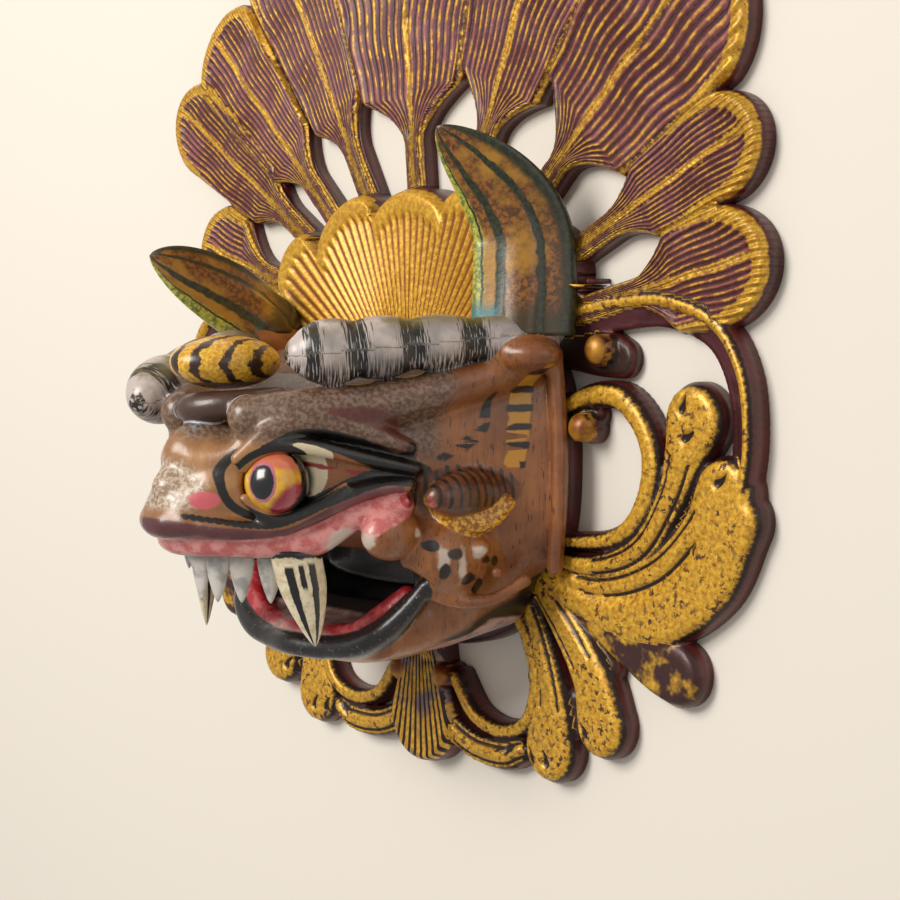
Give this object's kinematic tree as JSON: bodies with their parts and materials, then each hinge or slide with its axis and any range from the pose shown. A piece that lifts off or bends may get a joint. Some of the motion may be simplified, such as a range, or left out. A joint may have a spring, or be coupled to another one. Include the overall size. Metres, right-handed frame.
{
  "type": "wall mask",
  "caption": "Carved wooden barong mask: a fanged, horned head on an openwork fan of feathers with scrolls and leaves, lying on its flat back.",
  "frame": {"origin": "middle of the bounding box at its lowest height, on the plane of the flat back", "axes": "+Z the way the face looks, +Y towards the top of the fan, +X to the right of someone facing the mask"},
  "size_m": [0.4528, 0.4778, 0.1704],
  "materials": {
    "panel_paint": "worn gold leaf over maroon paint, satin",
    "head_paint": "stained wood with painted features, glossy varnish",
    "horn_paint": "green and gold paint, glossy varnish"
  },
  "bodies": {
    "root": {"back_panel": "panel_paint", "head": "head_paint", "horn_right": "horn_paint", "horn_left": "horn_paint"}
  },
  "joints": []
}
